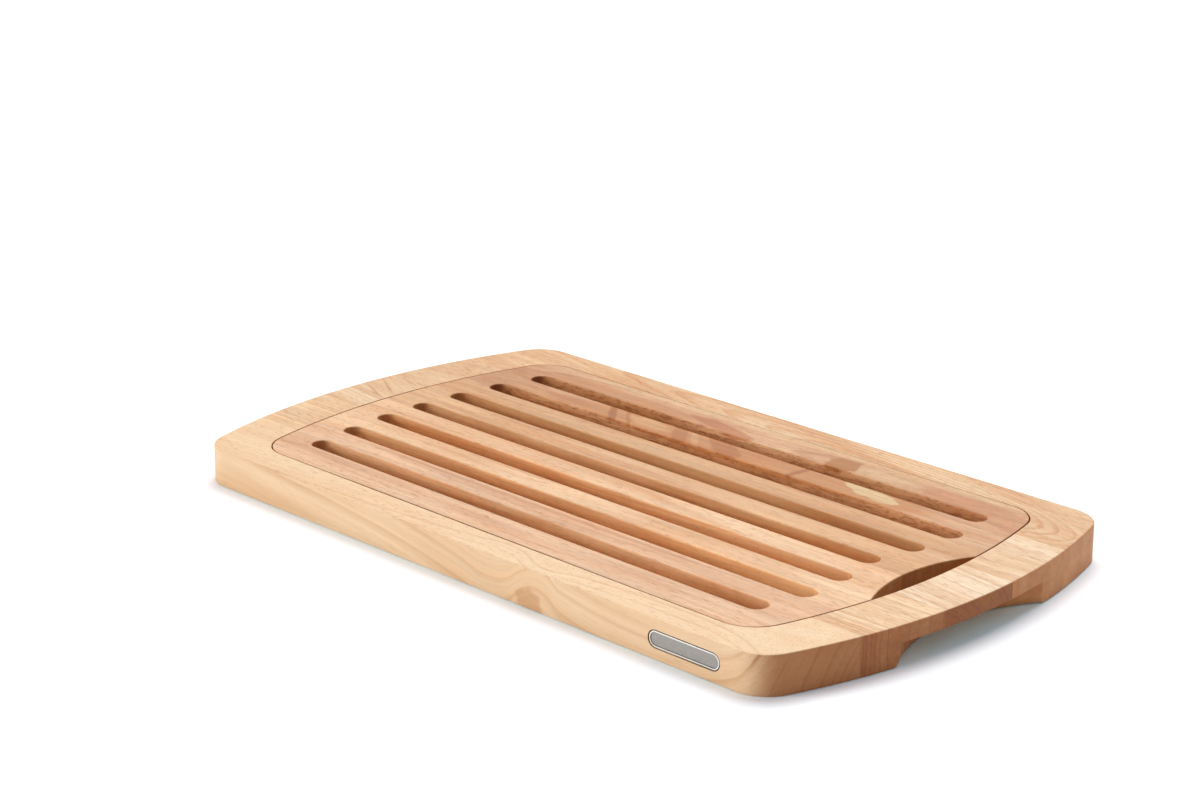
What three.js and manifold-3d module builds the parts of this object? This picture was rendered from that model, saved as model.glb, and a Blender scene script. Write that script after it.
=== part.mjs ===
// Two-piece bread board in edge-glued rubberwood: a crumb tray routed from a thick panel,
// and a slotted insert that lies in it flush with the rim and lifts straight out.
// Millimetres. X runs along the board, Y across it to the back, Z up.
// The origin is on the surface that the board stands on, under its middle.

import * as THREE from 'three';
import { mergeVertices } from 'three/addons/utils/BufferGeometryUtils.js';
import Module from 'manifold-3d';

const wasm = await Module();
wasm.setup();

// Tray outline, seen from above
const boardLength = 480;
const boardWidth = 270;
const endRadius = 370;
const cornerRadius = 22;
const outerArris = 1;

// Layers from the bottom up
const floorThickness = 5;
const crumbDepth = 6;
const insertThickness = 11;

// Pocket for the insert: the seam's distance from the tray's outline, and the ledge in it
const endRim = 33.3;
const sideRim = 20.5;
const seamCornerRadius = 23;
const seamArris = 0.4;
const insertClearance = 0.35;
const ledgeWidth = 6;

// Crumb slots: the margins are the wood left beside the outer slots and past every slot's ends
const slotCount = 7;
const slotWidth = 12.8;
const slotSideMargin = 21.5;
const slotEndMargin = 20.7;
const slotArris = 0.8;

// Finger notch in the insert's right end, and the arc that the slot ends follow round it
const notchDepth = 12.4;
const notchRadius = 90;
const notchReliefRadius = 78;

// Handhold under each end: the lip is the wood above it, the wall the wood behind it
const handholdRadius = 110;
const handholdLip = 9.3;
const handholdWall = 12.7;
const handholdArris = 4;

// Nameplate let into the front edge, near the right-hand corner
const plateLength = 47.4;
const plateHeight = 9;
const plateThickness = 1;
const plateRimWidth = 0.9;
const plateFieldDepth = 0.35;
const plateArris = 0.2;
const plateClearance = 0.45;
const plateSink = 0.3;
const plateCornerMargin = 9.7;

// Glue-up: equal staves in the tray, and in the insert one glue line to every second slot
const trayStaveCount = 5;
const slotsPerStave = 2;

// How far a cutter runs past the face that it opens, and how far a cut vertex may be off its plane
const overrun = 2;
const planeTolerance = 0.001;

// Facets: steps along each kind of arc
const endArcSteps = 24;
const cornerArcSteps = 8;
const slotArcSteps = 10;
const plateArcSteps = 10;
const discSteps = 96;
const outerArrisSteps = 3;
const handholdArrisSteps = 4;
const smallArrisSteps = 2;

const boardThickness = floorThickness + crumbDepth + insertThickness;
const ledgeHeight = floorThickness + crumbDepth;
const quarterTurn = Math.PI / 2;

const trayPlan = {
  halfLength: boardLength / 2,
  halfWidth: boardWidth / 2,
  endRadius,
  cornerRadius,
};
const seamPlan = {
  halfLength: boardLength / 2 - endRim,
  halfWidth: boardWidth / 2 - sideRim,
  endRadius,
  cornerRadius: seamCornerRadius,
};

// The corner's centre on a plan, and the angle at which its arc meets the bowed end
function cornerOf(plan) {
  const endCentre = plan.halfLength - plan.endRadius;
  const reach = plan.endRadius - plan.cornerRadius;
  const y = plan.halfWidth - plan.cornerRadius;
  const x = endCentre + Math.sqrt(reach ** 2 - y ** 2);
  return { x, y, endCentre, turn: Math.atan2(y, x - endCentre) };
}

function arc(x, y, radius, from, to, steps) {
  return new THREE.EllipseCurve(x, y, radius, radius, from, to).getPoints(steps);
}

// A rectangle with bowed ends and round corners, grown all round by an offset.
// Its right half is drawn from the front side to the back, and its left half is that turned round.
function bowedOutline(plan) {
  const { x, y, endCentre, turn } = cornerOf(plan);
  return (offset) => {
    const corner = plan.cornerRadius + offset;
    const half = [
      ...arc(x, -y, corner, -quarterTurn, -turn, cornerArcSteps),
      ...arc(endCentre, 0, plan.endRadius + offset, -turn, turn, endArcSteps).slice(1),
      ...arc(x, y, corner, turn, quarterTurn, cornerArcSteps).slice(1),
    ];
    return [...half, ...half.map((point) => point.clone().negate())];
  };
}

// A slot with round ends between two end centres on the line y
function slotOutline(left, right, y, radius, steps) {
  return (offset) => [
    ...arc(right, y, radius + offset, -quarterTurn, quarterTurn, steps),
    ...arc(left, y, radius + offset, quarterTurn, 3 * quarterTurn, steps),
  ];
}

function discOutline(x, radius) {
  return (offset) => arc(x, 0, radius + offset, 0, 4 * quarterTurn, discSteps).slice(1);
}

// A closed body through a stack of outlines. A level is a height and the offset of its outline.
function loft(outlineAt, levels) {
  const rings = levels.map((level) => outlineAt(level.offset));
  const count = rings[0].length;
  const positions = [];
  rings.forEach((ring, row) => {
    ring.forEach((point) => positions.push(point.x, point.y, levels[row].height));
  });
  const indices = [];
  for (let row = 1; row < rings.length; row += 1) {
    const below = (row - 1) * count;
    const above = row * count;
    for (let column = 0; column < count; column += 1) {
      const next = (column + 1) % count;
      indices.push(below + column, below + next, above + next);
      indices.push(below + column, above + next, above + column);
    }
  }
  const top = (rings.length - 1) * count;
  for (const [a, b, c] of THREE.ShapeUtils.triangulateShape(rings[0], [])) {
    indices.push(a, c, b);
    indices.push(top + a, top + b, top + c);
  }
  const geometry = new THREE.BufferGeometry();
  geometry.setAttribute('position', new THREE.Float32BufferAttribute(positions, 3));
  geometry.setIndex(indices);
  return geometry;
}

// Levels of a plate whose upper and lower arrises are rounded by quarter circles
function roundedLevels(low, high, radius, steps) {
  const levels = [];
  for (let step = 0; step <= steps; step += 1) {
    const angle = (quarterTurn * step) / steps;
    const offset = radius * (Math.sin(angle) - 1);
    const rise = radius * (1 - Math.cos(angle));
    levels.push({ offset, height: low + rise });
  }
  const upper = levels.map((level) => ({ offset: level.offset, height: low + high - level.height }));
  return [...levels, ...upper.reverse()];
}

// Levels of a cutter that leaves a rounded arris round its mouth, at the height of the mouth.
// The cut runs from the mouth to the height of its end, up or down.
function mouthLevels(end, mouth, radius, steps) {
  const way = Math.sign(mouth - end);
  const levels = [{ offset: 0, height: end }];
  for (let step = 0; step <= steps; step += 1) {
    const angle = (quarterTurn * step) / steps;
    const offset = radius * (1 - Math.cos(angle));
    levels.push({ offset, height: mouth + way * radius * (Math.sin(angle) - 1) });
  }
  levels.push({ offset: radius, height: mouth + way * overrun });
  return way > 0 ? levels : levels.reverse();
}

// Levels of a cutter through the insert, with a rounded arris at both faces
function throughLevels(radius) {
  const middle = insertThickness / 2;
  const lower = mouthLevels(middle, 0, radius, smallArrisSteps);
  const upper = mouthLevels(middle, insertThickness, radius, smallArrisSteps);
  return [...lower, ...upper.slice(1)];
}

function solid(geometry) {
  const bare = new THREE.BufferGeometry();
  bare.setAttribute('position', geometry.getAttribute('position'));
  bare.setIndex(geometry.getIndex());
  const merged = mergeVertices(bare);
  const mesh = new wasm.Mesh({
    numProp: 3,
    vertProperties: new Float32Array(merged.getAttribute('position').array),
    triVerts: new Uint32Array(merged.getIndex().array),
  });
  return new wasm.Manifold(mesh);
}

function cutAll(body, cutters) {
  return cutters.reduce((rest, cutter) => rest.subtract(solid(cutter)), body);
}

// A solid as a geometry, with the vertices of its glued faces exactly on the glue planes
function geometryOf(body, glueLines) {
  const mesh = body.getMesh();
  const positions = new Float32Array(mesh.vertProperties);
  for (let index = 1; index < positions.length; index += 3) {
    const plane = glueLines.find((line) => Math.abs(positions[index] - line) < planeTolerance);
    if (plane !== undefined) {
      positions[index] = plane;
    }
  }
  const geometry = new THREE.BufferGeometry();
  geometry.setAttribute('position', new THREE.BufferAttribute(positions, 3));
  geometry.setIndex(new THREE.BufferAttribute(new Uint32Array(mesh.triVerts), 1));
  geometry.computeVertexNormals();
  return geometry;
}

// Cuts a body into staves at the glue lines, from the front one to the back one
function staveGeometries(body, glueLines) {
  const length = boardLength + 2 * overrun;
  const height = boardThickness + 2 * overrun;
  const side = boardWidth / 2 + overrun;
  const edges = [-side, ...glueLines, side];
  return edges.slice(1).map((back, index) => {
    const front = edges[index];
    const slab = new THREE.BoxGeometry(length, back - front, height);
    slab.translate(0, (front + back) / 2, boardThickness / 2);
    return geometryOf(body.intersect(solid(slab)), glueLines);
  });
}

// Crumb tray: the pocket, its ledge, both handholds and the nameplate's seat
const plateMargin = plateLength / 2 + plateClearance + plateCornerMargin;
const platePlace = new THREE.Vector3(
  cornerOf(trayPlan).x - plateMargin,
  plateSink + plateThickness - boardWidth / 2,
  boardThickness / 2,
);

function plateOutline() {
  const radius = plateHeight / 2;
  const reach = plateLength / 2 - radius;
  return slotOutline(-reach, reach, 0, radius, plateArcSteps);
}

function plateSeatCutter() {
  const mouth = plateThickness + plateSink;
  const levels = mouthLevels(0, mouth, plateArris, smallArrisSteps);
  const grown = levels.map((level) => ({ ...level, offset: level.offset + plateClearance }));
  const cutter = loft(plateOutline(), grown);
  cutter.rotateX(quarterTurn);
  cutter.translate(platePlace.x, platePlace.y, platePlace.z);
  return cutter;
}

function pocketCutters() {
  const seam = bowedOutline(seamPlan);
  const pocket = (offset) => seam(offset + insertClearance);
  const crumbSpace = (offset) => pocket(offset - ledgeWidth);
  return [
    loft(pocket, mouthLevels(ledgeHeight, boardThickness, seamArris, smallArrisSteps)),
    loft(crumbSpace, [
      { offset: 0, height: floorThickness },
      { offset: 0, height: ledgeHeight + overrun },
    ]),
  ];
}

function handholdCutters() {
  const reach = endRim - insertClearance - handholdWall;
  const centre = boardLength / 2 - reach + handholdRadius;
  const roof = boardThickness - handholdLip;
  const levels = mouthLevels(roof, 0, handholdArris, handholdArrisSteps);
  return [-centre, centre].map((x) => loft(discOutline(x, handholdRadius), levels));
}

function trayBody() {
  const levels = roundedLevels(0, boardThickness, outerArris, outerArrisSteps);
  const block = solid(loft(bowedOutline(trayPlan), levels));
  return cutAll(block, [...pocketCutters(), ...handholdCutters(), plateSeatCutter()]);
}

function trayGlueLines() {
  const width = boardWidth / trayStaveCount;
  const lines = [];
  for (let stave = 1; stave < trayStaveCount; stave += 1) {
    lines.push(stave * width - boardWidth / 2);
  }
  return lines;
}

// Slotted insert, drawn with its lower face at height 0
const insertHalfLength = seamPlan.halfLength - insertClearance;
const insertHalfWidth = seamPlan.halfWidth - insertClearance;
const notchApex = insertHalfLength - notchDepth;

function slotCentres() {
  const outermost = insertHalfWidth - slotSideMargin - slotWidth / 2;
  const pitch = (2 * outermost) / (slotCount - 1);
  return Array.from({ length: slotCount }, (_, slot) => slot * pitch - outermost);
}

// Where a slot on the line y ends: the insert's bowed end sets it, and on the right the notch too
function slotReach(y) {
  const margin = slotEndMargin + slotWidth / 2;
  const radius = seamPlan.endRadius - insertClearance - margin;
  return insertHalfLength - margin - radius + Math.sqrt(radius ** 2 - y ** 2);
}

function notchedSlotReach(y) {
  const apex = notchApex - slotEndMargin - slotWidth / 2;
  const rise = notchReliefRadius ** 2 - y ** 2;
  const reachByNotch = apex + notchReliefRadius - Math.sqrt(Math.max(rise, 0));
  return rise > 0 ? Math.min(slotReach(y), reachByNotch) : slotReach(y);
}

function slotCutters() {
  const levels = throughLevels(slotArris);
  return slotCentres().map((y) => {
    const outline = slotOutline(-slotReach(y), notchedSlotReach(y), y, slotWidth / 2, slotArcSteps);
    return loft(outline, levels);
  });
}

function insertBody() {
  const seam = bowedOutline(seamPlan);
  const outline = (offset) => seam(offset - insertClearance);
  const levels = roundedLevels(0, insertThickness, seamArris, smallArrisSteps);
  const notch = loft(discOutline(notchApex + notchRadius, notchRadius), throughLevels(slotArris));
  return cutAll(solid(loft(outline, levels)), [...slotCutters(), notch]);
}

// Each glue line runs along the front wall of a slot, and shows only past the slot's ends
function insertGlueLines() {
  return slotCentres()
    .filter((_, slot) => slot % slotsPerStave === 1)
    .map((y) => y - slotWidth / 2);
}

// Nameplate: a bare field inside a raised rim, drawn lying on its back
function plateGeometry() {
  const levels = roundedLevels(0, plateThickness, plateArris, smallArrisSteps);
  const field = (offset) => plateOutline()(offset - plateRimWidth);
  const cutter = loft(field, [
    { offset: 0, height: plateThickness - plateFieldDepth },
    { offset: 0, height: plateThickness + overrun },
  ]);
  return geometryOf(solid(loft(plateOutline(), levels)).subtract(solid(cutter)), []);
}

// Finishes: oiled rubberwood varies from stave to stave, and the plate is satin metal
const trayWoods = ['#e2c294', '#dcb98a', '#e4c79c', '#dab584', '#e0bf90'];
const insertWoods = ['#cf9f72', '#dcb585', '#e0bb8b', '#c99668'];
const plateMetal = new THREE.MeshStandardMaterial({ color: '#8d8983', roughness: 0.38, metalness: 1 });

function oiledWood(color) {
  return new THREE.MeshStandardMaterial({ color, roughness: 0.55, metalness: 0 });
}

function named(name, geometry, material) {
  const mesh = new THREE.Mesh(geometry, material);
  mesh.name = name;
  return mesh;
}

function addStaves(group, label, geometries, woods) {
  geometries.forEach((geometry, index) => {
    const wood = oiledWood(woods[index % woods.length]);
    group.add(named(`${label}_stave_${index + 1}`, geometry, wood));
  });
}

const tray = new THREE.Group();
addStaves(tray, 'tray', staveGeometries(trayBody(), trayGlueLines()), trayWoods);

const nameplate = named('nameplate', plateGeometry(), plateMetal);
nameplate.position.copy(platePlace);
nameplate.rotation.x = quarterTurn;
tray.add(nameplate);

const insert = new THREE.Group();
addStaves(insert, 'insert', staveGeometries(insertBody(), insertGlueLines()), insertWoods);
insert.position.z = ledgeHeight;

const breadBoard = new THREE.Group();
breadBoard.add(tray, insert);

export default breadBoard;
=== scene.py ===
"""A two-piece bread board in oiled rubberwood, with a lift-out slotted insert over a crumb tray.

Sizes are in millimetres in the classes and in metres in Blender. X runs along the board, Y across
it to the back, and Z up from the surface that it stands on.
"""

import logging
import math
from dataclasses import dataclass, field
from enum import Enum
from typing import Any, Mapping, Sequence

import bmesh
import bpy
from mathutils import Matrix, Vector


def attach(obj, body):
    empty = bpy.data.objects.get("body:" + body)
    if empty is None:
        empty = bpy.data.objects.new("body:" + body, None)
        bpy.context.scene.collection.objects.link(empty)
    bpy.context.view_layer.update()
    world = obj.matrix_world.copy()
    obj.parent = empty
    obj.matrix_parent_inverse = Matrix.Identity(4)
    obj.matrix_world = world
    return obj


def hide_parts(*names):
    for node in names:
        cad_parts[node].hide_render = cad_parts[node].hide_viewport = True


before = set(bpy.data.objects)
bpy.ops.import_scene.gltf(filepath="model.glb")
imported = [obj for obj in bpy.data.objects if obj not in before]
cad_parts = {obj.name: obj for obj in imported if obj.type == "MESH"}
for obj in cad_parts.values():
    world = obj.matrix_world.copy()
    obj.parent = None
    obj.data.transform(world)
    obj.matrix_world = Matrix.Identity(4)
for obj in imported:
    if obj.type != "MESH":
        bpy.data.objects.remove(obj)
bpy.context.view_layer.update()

LOG = logging.getLogger("bread_board")
MM = 0.001
QUARTER_TURN = math.pi / 2
UP = Vector((0, 0, 1))

Pair = tuple[float, float]
Triple = tuple[float, float, float]
Colour = tuple[float, float, float, float]
Tree = bpy.types.NodeTree
# What an input is linked to: a socket, or a node for its first output in use
Source = bpy.types.Node | bpy.types.NodeSocket
SMOOTH = {"interpolation_type": "SMOOTHSTEP"}


# Colours and nodes


def linear_colour(code: str) -> Colour:
    """Turns an sRGB hex code into a linear colour.

    Args:
        code: A hash and six hex digits.

    Returns:
        Linear red, green and blue, and an alpha of 1.
    """
    channels = [int(code[i : i + 2], 16) / 255 for i in (1, 3, 5)]
    linear = [c / 12.92 if c <= 0.04045 else ((c + 0.055) / 1.055) ** 2.4 for c in channels]
    return (linear[0], linear[1], linear[2], 1.0)


def linear_grey(value: float) -> Colour:
    """A grey of a linear value, for a ramp that carries a number."""
    return (value, value, value, 1.0)


def add_node(
    tree: Tree, kind: str, inputs: Mapping[int | str, Any] | None = None, **settings: Any
) -> bpy.types.Node:
    """Adds a node with its settings, and fills or links its inputs.

    Args:
        tree: The tree that the node goes into.
        kind: The node's type name.
        inputs: For each input's name or number, a value to set, a socket to link, or a node whose
            first output in use is linked.
        settings: Properties of the node.

    Returns:
        The new node.
    """
    node = tree.nodes.new(kind)
    for name, value in settings.items():
        setattr(node, name, value)
    for key, value in (inputs or {}).items():
        if isinstance(value, bpy.types.Node):
            value = next(output for output in value.outputs if output.enabled)
        if isinstance(value, bpy.types.NodeSocket):
            tree.links.new(value, node.inputs[key])
        else:
            node.inputs[key].default_value = value
    return node


def new_material(name: str) -> tuple[bpy.types.Material, Tree]:
    """Makes an empty node material.

    Args:
        name: The material's name.

    Returns:
        The material and its tree.
    """
    material = bpy.data.materials.new(name)
    material.use_nodes = True
    material.node_tree.nodes.clear()
    return material, material.node_tree


# Finishes


@dataclass(frozen=True)
class Trunk:
    """Where a stave lay in its log, in millimetres.

    Attributes:
        pith: The pith's place across the stave, Y and Z, at the middle of its length.
        slope: How far the pith moves in Y and Z for each millimetre along X.
        rise: For a crooked log, places along X and the pith's rise there.
        ring: The usual growth ring.
        wander: How far the grain wanders from straight.
        seed: What tells one stave's chance figure from another's.
    """

    pith: Pair
    slope: Pair = (0.0, 0.0)
    rise: Sequence[Pair] = ()
    ring: float = 6.0
    wander: float = 3.0
    seed: float = 0.0


@dataclass(frozen=True)
class GrowthLine:
    """A strong growth line, which a poor year leaves.

    Attributes:
        radius: Its distance from the pith, in millimetres.
        strength: How much late wood it has.
        width: How far it fades towards the pith, in millimetres.
    """

    radius: float
    strength: float = 1.0
    width: float = 2.5


@dataclass(frozen=True)
class Swell:
    """A swelling in the grain, where the rings pass round the foot of a branch.

    Attributes:
        place: Its middle on the board, in millimetres.
        reach: How far it is felt along X, Y and Z, in millimetres.
        height: How far it pushes the rings outwards, in millimetres.
    """

    place: Triple
    reach: Triple
    height: float


@dataclass(frozen=True)
class Patch:
    """A paler or darker patch with a fairly sharp edge, of other grain, painted light or painted shade.

    Attributes:
        place: Its middle on the board, in millimetres.
        reach: Half its size along X, Y and Z before it is turned, in millimetres.
        colour: The colour that it tends to.
        strength: How much of that colour it has, from 0 to 1.
        turn: Its turn about Z, in degrees.
        blur: How wide its edge is, as a share of its reach.
        square: Whether it is squarish rather than round.
    """

    place: Triple
    reach: Triple
    colour: str
    strength: float = 0.5
    turn: float = 0.0
    blur: float = 0.4
    square: bool = False


@dataclass(frozen=True)
class Rubberwood:
    """Rubberwood, edge-glued, sanded and oiled, which gives a pale tan satin face with short pores.

    A size is a feature's length along the log and its width across, in millimetres. Limits are
    the values at which a feature starts to show and shows in full.

    Attributes:
        name: The material's name.
        trunk: Where the stave lay in its log, which draws the figure.
        light: The early wood's colour.
        dark: The late wood's colour.
        contrast: How much of the late wood's colour shows, from 0 to 1.
        end_grain: What the colour is multiplied by where the grain runs into the surface, which the oil
        darkens; the back staves' paler values are partly painted light.
        routed: A pale tint that the colour is multiplied by on a slot's wall; with the gain below it is
            painted light, which lifts the walls out of the slots' shade.
        painted_wall_light: What that tint is multiplied by, above 1 to brighten the slot walls as painted
            light.
        mottle: What the oil multiplies the colour by in the blotches where it sank deeper.
        streaks: How much broad streaks along the grain show.
        grain: How much the fine fibres show, from 0 to 1.
        curls: How much dark curls the cutter left on a wall along the grain, from 0 to 1.
        end_figure: How much of the rings shows on the end grain, from 0 to 1.
        painted_light_slope: How much paler in red, green and blue the right end is painted than the
            middle,
        and the left end darker: painted light, as more light falls on the right.
        lines: The strong growth lines.
        swells: The swellings in the grain.
        patches: The patches of other grain, and of painted light and shade in slots, seams and the
            plate's seat.
        pore: The colour in a pore.
        pore_depth: How much of that colour a deep pore has, from 0 to 1.
        pore_size: The vessels' size as they are drawn.
        pore_limits: Their limits in the noise.
        closed_pores: How much of them an end or a cut on edge leaves, from 0 to 1.
        fibre_size: The fine fibres' size.
        fibre_limits: Their limits in the noise.
        fibre_tone: How much darker the darkest fibres are, and how much paler the palest.
        streak_size: The broad streaks' size.
        streak_limits: Their limits in the noise.
        blotch_size: The oil blotches' size.
        blotch_limits: Their limits in the noise.
        curl_size: The curls' size.
        curl_limits: Their limits in the noise.
        curl: The colour in a curl.
        end_facing: How squarely the end grain faces along X, as limits.
        side_facing: How squarely a wall along the grain faces along Y, as limits.
        slots_end: How far across the board from its middle there are slots, in millimetres.
        half_length: How far along it that painted light reaches, in millimetres.
        roughness: The smoothest and the roughest fibres' roughness.
        relief: The depth of the pores and fibres, in millimetres.
    """

    name: str
    trunk: Trunk
    light: str = "#f4d4ab"
    dark: str = "#cf9a66"
    contrast: float = 0.6
    end_grain: str = "#c39d7c"
    routed: str = "#ffffff"
    painted_wall_light: float = 1.0
    mottle: str = "#f3e4d6"
    streaks: float = 0.35
    grain: float = 1.0
    curls: float = 0.0
    end_figure: float = 1.0
    painted_light_slope: Triple = (0.05, 0.06, 0.08)
    lines: Sequence[GrowthLine] = ()
    swells: Sequence[Swell] = ()
    patches: Sequence[Patch] = ()
    pore: str = "#a86c3a"
    pore_depth: float = 0.58
    pore_size: Pair = (7.0, 0.7)
    pore_limits: Pair = (0.56, 0.70)
    closed_pores: float = 0.3
    fibre_size: Pair = (80.0, 2.6)
    fibre_limits: Pair = (0.25, 0.75)
    fibre_tone: Pair = (0.17, 0.15)
    streak_size: Pair = (260.0, 5.0)
    streak_limits: Pair = (0.3, 0.7)
    blotch_size: Pair = (120.0, 16.0)
    blotch_limits: Pair = (0.34, 0.66)
    curl_size: Pair = (13.0, 3.0)
    curl_limits: Pair = (0.46, 0.64)
    curl: str = "#a4764c"
    end_facing: Pair = (0.25, 0.95)
    side_facing: Pair = (0.5, 0.95)
    slots_end: float = 105.0
    half_length: float = 240.0
    roughness: Pair = (0.44, 0.58)
    relief: float = 0.08

    def material(self) -> bpy.types.Material:
        """Builds the node material.

        Returns:
            The material.
        """
        material, tree = new_material(self.name)
        place = add_node(tree, "ShaderNodeTexCoord")
        board = add_node(
            tree,
            "ShaderNodeVectorMath",
            {0: place.outputs["Object"], 1: (1 / MM, 1 / MM, 1 / MM)},
            operation="MULTIPLY",
        )
        log = self._log_place(tree, board)
        end = self._facing(tree, place.outputs["Normal"], "X", self.end_facing)
        side = self._facing(tree, place.outputs["Normal"], "Y", self.side_facing)
        pores = self._pores(tree, log, end, side)
        fibres = self._noise(tree, log, self.fibre_size, detail=3.0)
        late = self._late_wood(tree, board, log, end)
        colour = self._wood_colour(tree, board, late, fibres, pores)
        blotches = self._noise(tree, log, self.blotch_size, detail=2.0)
        start, full = self.blotch_limits
        oiled = add_node(tree, "ShaderNodeMapRange", {0: blotches, 1: start, 2: full}, **SMOOTH)
        colour = self._tinted(tree, colour, oiled, self.mottle)
        walls = self._slot_walls(tree, board, side)
        if self.curls:
            colour = self._curled(tree, board, walls, colour)
        # Painted light: paler towards the right end and darker towards the left
        colour = self._with_painted_light(tree, board, colour)
        colour = self._tinted(tree, colour, end, self.end_grain)
        # Painted light: the slot walls are brightened by the pale tint and its gain, out of the slots'
        # shade
        colour = self._tinted(tree, colour, walls, self.routed, self.painted_wall_light)
        height = add_node(tree, "ShaderNodeMath", {0: fibres, 1: pores}, operation="SUBTRACT")
        bump = add_node(
            tree, "ShaderNodeBump", {"Strength": 0.15, "Distance": self.relief * MM, "Height": height}
        )
        (start, full), (least, most) = self.fibre_limits, self.roughness
        rough = add_node(
            tree, "ShaderNodeMapRange", {0: fibres, 1: start, 2: full, 3: least, 4: most}
        )
        shader = add_node(
            tree,
            "ShaderNodeBsdfPrincipled",
            {"Base Color": colour, "Roughness": rough, "IOR": 1.45, "Normal": bump},
        )
        add_node(tree, "ShaderNodeOutputMaterial", {"Surface": shader})
        return material

    def _log_place(self, tree: Tree, board: Source) -> Source:
        """Finds a place's distance along and across the log, with the grain's wander in it.

        Args:
            tree: The material's tree.
            board: The place on the board in millimetres.

        Returns:
            The place from the pith, in millimetres.
        """
        trunk = self.trunk
        seed_step, slow_step = 977.0, 7.3  # How far apart two seeds' noise lies
        long, wide = 170, 45  # The size of a bend in the grain
        shift = (trunk.seed * seed_step, -trunk.pith[0] - trunk.wander, -trunk.pith[1] - trunk.wander)
        along = add_node(tree, "ShaderNodeSeparateXYZ", {0: board}).outputs["X"]
        slow = add_node(
            tree,
            "ShaderNodeVectorMath",
            {0: board, 1: (1 / long, 1 / wide, 1 / wide), 2: (trunk.seed * slow_step, 0, 0)},
            operation="MULTIPLY_ADD",
        )
        noise = add_node(tree, "ShaderNodeTexNoise", {"Vector": slow, "Scale": 1.0, "Detail": 2.5})
        log = add_node(tree, "ShaderNodeVectorMath", {0: board, 1: shift}, operation="ADD")
        wander = 2 * trunk.wander
        terms = [
            (along, (0, -trunk.slope[0], -trunk.slope[1])),
            (noise.outputs["Color"], (0, wander, wander)),
        ]
        if trunk.rise:
            terms.append((self._risen(tree, along), (0, 0, -1)))
        for value, factors in terms:
            log = add_node(
                tree, "ShaderNodeVectorMath", {0: value, 1: factors, 2: log}, operation="MULTIPLY_ADD"
            )
        return log

    def _risen(self, tree: Tree, along: Source) -> Source:
        """Draws the pith's rise along a crooked log.

        Args:
            tree: The material's tree.
            along: The place along X.

        Returns:
            The rise in millimetres.
        """
        span, reach = 500.0, 100.0
        share = add_node(
            tree, "ShaderNodeMath", {0: along, 1: 1 / span, 2: 0.5}, operation="MULTIPLY_ADD"
        )
        crooked = add_node(tree, "ShaderNodeFloatCurve", {1: share})
        points = crooked.mapping.curves[0].points
        shares = [(x / span + 0.5, rise / reach + 0.5) for x, rise in self.trunk.rise]
        points[0].location, points[-1].location = shares[0], shares[-1]
        for x, rise in shares[1:-1]:
            points.new(x, rise)
        crooked.mapping.update()
        return add_node(
            tree, "ShaderNodeMath", {0: crooked, 1: reach, 2: -reach / 2}, operation="MULTIPLY_ADD"
        )

    def _noise(self, tree: Tree, log: Source, size: Pair, detail: float) -> Source:
        """Draws noise that is stretched along the grain.

        Args:
            tree: The material's tree.
            log: The place in the log.
            size: A feature's length along the log and its width across, in millimetres.
            detail: The noise's octaves.

        Returns:
            A value about 0.5.
        """
        scale = (1 / size[0], 1 / size[1], 1 / size[1])
        stretched = add_node(tree, "ShaderNodeVectorMath", {0: log, 1: scale}, operation="MULTIPLY")
        settings = {"Vector": stretched, "Scale": 1.0, "Detail": detail, "Roughness": 0.6}
        return add_node(tree, "ShaderNodeTexNoise", settings)

    def _swollen(self, tree: Tree, board: Source, swell: Swell, radius: Source) -> Source:
        """Pushes the rings outwards about a swelling.

        Args:
            tree: The material's tree.
            board: The place on the board in millimetres.
            swell: The swelling.
            radius: The distance from the pith.

        Returns:
            The distance from the pith that the ring there had before the swelling.
        """
        near = add_node(
            tree,
            "ShaderNodeMapping",
            {"Vector": board, "Location": swell.place, "Scale": swell.reach},
            vector_type="TEXTURE",
        )
        far = add_node(tree, "ShaderNodeVectorMath", {0: near, 1: near}, operation="DOT_PRODUCT")
        fade = add_node(tree, "ShaderNodeMath", {0: math.exp(-1), 1: far}, operation="POWER")
        return add_node(
            tree, "ShaderNodeMath", {0: fade, 1: -swell.height, 2: radius}, operation="MULTIPLY_ADD"
        )

    def _late_wood(self, tree: Tree, board: Source, log: Source, end: Source) -> Source:
        """Draws the growth rings, some faint and some strong, each with a darker late edge.

        Args:
            tree: The material's tree.
            board: The place on the board in millimetres.
            log: The place in the log.
            end: Where the end grain is.

        Returns:
            How much late wood there is, from 0 to 1.
        """
        across = add_node(tree, "ShaderNodeVectorMath", {0: log, 1: (0, 1, 1)}, operation="MULTIPLY")
        radius = add_node(tree, "ShaderNodeVectorMath", {0: across}, operation="LENGTH")
        for swell in self.swells:
            radius = self._swollen(tree, board, swell, radius)
        grown = self._rings(tree, radius)
        for line in self.lines:
            grown = self._lined(tree, radius, line, grown)
        face, across_end = self.contrast, self.contrast * self.end_figure
        shown = add_node(tree, "ShaderNodeMapRange", {0: end, 3: face, 4: across_end})
        drawn = add_node(tree, "ShaderNodeMath", {0: grown, 1: shown}, operation="MULTIPLY")
        streaks = self._noise(tree, log, self.streak_size, detail=3.0)
        start, full = self.streak_limits
        broad = add_node(
            tree, "ShaderNodeMapRange", {0: streaks, 1: start, 2: full, 4: self.streaks}
        )
        return add_node(tree, "ShaderNodeMath", {0: drawn, 1: broad}, operation="ADD", use_clamp=True)

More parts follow.
